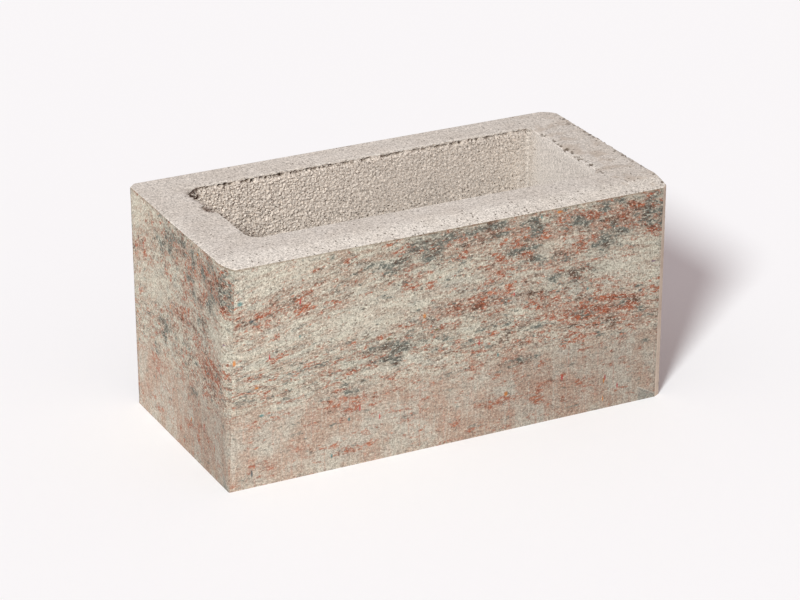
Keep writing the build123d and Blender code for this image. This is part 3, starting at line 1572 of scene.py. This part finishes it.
    def bitten(self, places: np.ndarray, bite: Bite) -> np.ndarray:
        """Pushes what lies in the bite's ball out to its surface.

        Args:
            places: Vertex places.
            bite: Ball that is taken out.

        Returns:
            The places with the bite.
        """
        middle = np.array(bite.place) * MM
        spoke = places - middle
        reach = np.linalg.norm(spoke, axis=1)
        made = places.copy()
        widest = bite.radius * MM * (1.0 + self.bite_ragged)
        for index in np.flatnonzero(reach < widest):
            rough = 1.0 + self.bite_ragged * noise.noise(Vector(places[index]) / self.bite_grain)
            radius = bite.radius * MM * rough
            if reach[index] < radius:
                made[index] = middle + spoke[index] / max(reach[index], TINY) * radius
        return made

    def zone_share(self, zone: Zone) -> np.ndarray:
        """Gives each vertex 1 if only faces of the zone meet there, and otherwise 0."""
        mesh = self.piece.data
        share = np.ones(len(mesh.vertices))
        for polygon in mesh.polygons:
            if polygon.material_index != zone.value:
                share[list(polygon.vertices)] = 0.0
        return share

    def weights(self, places: np.ndarray) -> dict[str, np.ndarray]:
        """Works out where each layer of relief shows.

        Args:
            places: Vertex places.

        Returns:
            Layer name to a weight for each vertex.
        """
        x, y, z = places.T
        worn = self.worn
        half = np.array(self.core_size) / 2
        deep = self.high.z - z
        core, rim, face = (self.zone_share(zone) for zone in (Zone.CORE, Zone.RIM, Zone.FACE))
        wall = core * self.openness(places) * ease(*worn.wall_top, deep) * ease(*worn.wall_foot, z)

        # Lip of the core, where it crumbles on the left and along the back
        from_left, from_right = half[0] + x, half[0] - x
        from_back = half[1] - (y - self.core_middle)
        past_lip = np.maximum(np.abs(x) - half[0], np.abs(y - self.core_middle) - half[1])
        lip = ease(*worn.lip_across, np.abs(past_lip)) * ease(*worn.lip_down, deep)
        left_lip = ease(*worn.left_lip, from_left) * ease(*worn.left_lip_along, y)
        back_lip = ease(*worn.back_lip, from_back) * ease(*worn.back_lip_along, from_right)
        crumble = np.maximum(worn.left_lip_share * left_lip, worn.back_lip_share * back_lip)

        # Ledge under the back lip, with gaps in it, and the nook at its left end
        ledge = core * ease(*worn.back_wall, from_back)
        ledge *= ease(*worn.ledge_top, deep) * ease(*worn.ledge_foot, deep)
        gaps = np.array([noise.noise(Vector((along / worn.ledge_run, 0.0, 0.0))) for along in x])
        ledge *= ease(*worn.ledge_noise, gaps)
        ledge *= worn.ledge_right + (1.0 - worn.ledge_right) * ease(*worn.ledge_left, x)
        from_nook = np.hypot(from_left - worn.nook_place[0], from_back - worn.nook_place[1])
        nook = core * ease(*worn.nook_reach, from_nook)
        nook *= ease(*worn.nook_top, deep) * ease(*worn.nook_foot, deep)

        # Right edge of the rim
        gap = np.minimum(self.size.x / 2 - np.abs(x), self.size.y / 2 - np.abs(y))
        edge = ease(*worn.edge_across, gap) * ease(*worn.edge_down, deep - self.front_slope_drop)
        edge *= ease(*worn.edge_right, self.high.x - x) * ease(*worn.edge_back, y)
        return {
            "grain": wall,
            "holes": wall * (worn.holes_right + (1.0 - worn.holes_right) * ease(*worn.holes_left, x)),
            "ledge": np.maximum(nook, ledge),
            "crumble": lip * crumble,
            "chips": edge,
            "skin": np.maximum(rim, face),
        }

    def wear(self) -> None:
        """Breaks the edges and presses relief in, and keeps as attributes the painted shade of the places
        that broke, were dug or sank and of the core's back right corner, and how open the grain is.
        """
        mesh = self.piece.data
        before = read(mesh.vertices, "co", 3, float)
        normals = np.array([v.normal for v in mesh.vertices])
        weights = self.weights(before)
        places, moved = self.broken(before)
        whole = places
        for bite in self.bites:
            places = self.bitten(places, bite)
        dug = np.linalg.norm(places - whole, axis=1)
        mesh.vertices.foreach_set("co", places.ravel())
        mesh.update()
        for layer in self.reliefs:
            self.press(layer, weights[layer.name])
        after = read(mesh.vertices, "co", 3, float)
        sunk = -((after - before) * normals).sum(1)
        # Painted shade where the edges broke, were dug or sank, and in the core's back right corner
        hollow = mesh.attributes.new(HOLLOW_SHADE_ATTRIBUTE, "FLOAT", "POINT")
        hollow_shade = self.zone_share(Zone.CORE) * ease(*self.worn.broken, moved)
        for share in (ease(*self.worn.dug, dug), self.corner_painted_shade(before), ease(*self.worn.sunk, sunk)):
            hollow_shade = np.maximum(hollow_shade, share)
        hollow.data.foreach_set("value", hollow_shade.astype(np.float32))
        grain = mesh.attributes.new(OPEN_ATTRIBUTE, "FLOAT", "POINT")
        grain.data.foreach_set("value", self.openness(before).astype(np.float32))
        after = np.clip(after, np.array(self.low), np.array(self.high))
        mesh.vertices.foreach_set("co", after.ravel())
        mesh.update()

    def press(self, layer: Relief, weight: np.ndarray) -> None:
        """Applies one layer of relief.

        Args:
            layer: Grain, depth and contrast of the relief.
            weight: How strongly it shows at each vertex.
        """
        group = self.piece.vertex_groups.new(name=layer.name)
        for index in np.flatnonzero(weight > self.worn.least_weight):
            group.add([int(index)], float(weight[index]), "REPLACE")
        texture = bpy.data.textures.new(layer.name, "CLOUDS")
        texture.noise_scale = layer.grain
        texture.contrast = layer.contrast
        texture.intensity = layer.brightness
        texture.noise_depth = layer.detail
        modifier = self.piece.modifiers.new(layer.name, "DISPLACE")
        modifier.texture = texture
        modifier.texture_coords = "LOCAL"
        modifier.direction = "NORMAL"
        modifier.strength = layer.depth
        modifier.mid_level = layer.level
        modifier.vertex_group = layer.name
        bpy.ops.object.modifier_apply(modifier=layer.name)
        self.piece.vertex_groups.remove(self.piece.vertex_groups[layer.name])

    def finish_mesh(self) -> None:
        """Smooths the shading."""
        bpy.ops.object.select_all(action="DESELECT")
        self.piece.select_set(True)
        bpy.context.view_layer.objects.active = self.piece
        bpy.ops.object.shade_smooth_by_angle(angle=math.radians(self.smooth_angle))

    def dress(self, groups: Groups) -> None:
        """Gives the casting its finishes and ties it to the frame.

        Args:
            groups: Shared node groups.
        """
        finishes = {
            Zone.FACE: ColouredFace(),
            Zone.RIM: PressedRim(),
            Zone.CORE: OpenCore(),
            Zone.BED: PlainConcrete(),
        }
        for zone in Zone:
            self.piece.data.materials.append(finishes[zone].material(groups))
        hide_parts(NODE)
        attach(self.piece, BODY)


@dataclass
class Studio:
    """Floor, light and camera. Angles are in degrees round the block, and sizes in metres."""

    middle: Vector
    view_azimuth: float = -26.97
    view_elevation: float = 23.445
    view_distance: float = 2.40806
    view_shift: Pair = (0.0015, -0.00684)
    lens: float = 133.15
    sensor: float = 36.0
    key_azimuth: float = -46.0
    key_elevation: float = 33.1
    key_angle: float = 11.0
    key_strength: float = 3.42
    key_tint: Triple = (0.94, 1.0, 1.0)
    sky_tint: Colour = (1.0, 0.86, 0.87, 1.0)
    sky_strength: float = 0.433
    floor_width: float = 14.0
    floor_paint: Colour = (0.965, 0.962, 0.97, 1.0)
    floor_roughness: float = 0.95
    floor_shine: float = 0.1

    @staticmethod
    def outward(azimuth: float, elevation: float) -> Vector:
        """Gives the direction from the block out to a place round it. Azimuth 0 is in front."""
        a, e = math.radians(azimuth), math.radians(elevation)
        return Vector((math.sin(a) * math.cos(e), -math.cos(a) * math.cos(e), math.sin(e)))

    def lay_floor(self) -> None:
        """Lays the pale floor."""
        bpy.ops.object.select_all(action="DESELECT")
        bpy.ops.mesh.primitive_plane_add(size=self.floor_width, location=(0.0, 0.0, 0.0))
        floor = bpy.context.object
        floor.name = "floor"
        made = bpy.data.materials.new("floor")
        made.use_nodes = True
        shader = made.node_tree.nodes["Principled BSDF"]
        shader.inputs["Base Color"].default_value = self.floor_paint
        shader.inputs["Roughness"].default_value = self.floor_roughness
        shader.inputs["Specular IOR Level"].default_value = self.floor_shine
        floor.data.materials.append(made)

    def hang_lights(self) -> None:
        """Hangs the soft key light in front on the left, and fills the room with even light."""
        lamp = bpy.data.lights.new("key", "SUN")
        lamp.angle = math.radians(self.key_angle)
        lamp.energy = self.key_strength
        lamp.color = self.key_tint
        key = bpy.data.objects.new("key", lamp)
        outward = self.outward(self.key_azimuth, self.key_elevation)
        key.location = self.middle + outward
        key.rotation_euler = outward.to_track_quat("Z", "Y").to_euler()
        bpy.context.scene.collection.objects.link(key)
        world = bpy.data.worlds.new("room")
        world.use_nodes = True
        sky = world.node_tree.nodes["Background"]
        sky.inputs["Color"].default_value = self.sky_tint
        sky.inputs["Strength"].default_value = self.sky_strength
        bpy.context.scene.world = world

    def set_camera(self) -> None:
        """Puts the camera at the photograph's viewpoint."""
        lens = bpy.data.cameras.new("camera")
        lens.lens = self.lens
        lens.sensor_width = self.sensor
        camera = bpy.data.objects.new("camera", lens)
        back = self.outward(self.view_azimuth, self.view_elevation)
        right = Vector((0.0, 0.0, 1.0)).cross(back).normalized()
        up = back.cross(right)
        aside, above = self.view_shift
        place = self.middle + back * self.view_distance + right * aside + up * above
        camera.matrix_world = Matrix.Translation(place) @ Matrix((right, up, back)).transposed().to_4x4()
        bpy.context.scene.collection.objects.link(camera)
        bpy.context.scene.camera = camera

    def build(self) -> None:
        """Sets up the whole studio."""
        self.lay_floor()
        self.hang_lights()
        self.set_camera()
        bpy.context.scene.view_settings.view_transform = "Standard"


def main() -> None:
    """Builds the block and its studio, and reports each piece."""
    logging.basicConfig(level=logging.INFO, format="%(message)s")
    groups = Groups()
    low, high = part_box(NODE)
    block = BlockCasting(low, high)
    piece = block.build()
    block.dress(groups)
    triangles = sum(len(polygon.vertices) - 2 for polygon in piece.data.polygons)
    log.info("%s: %d triangles", piece.name, triangles)
    studio = Studio(middle=(low + high) / 2)
    studio.build()
    log.info("floor, light and camera are in place")


if __name__ == "__main__":
    main()
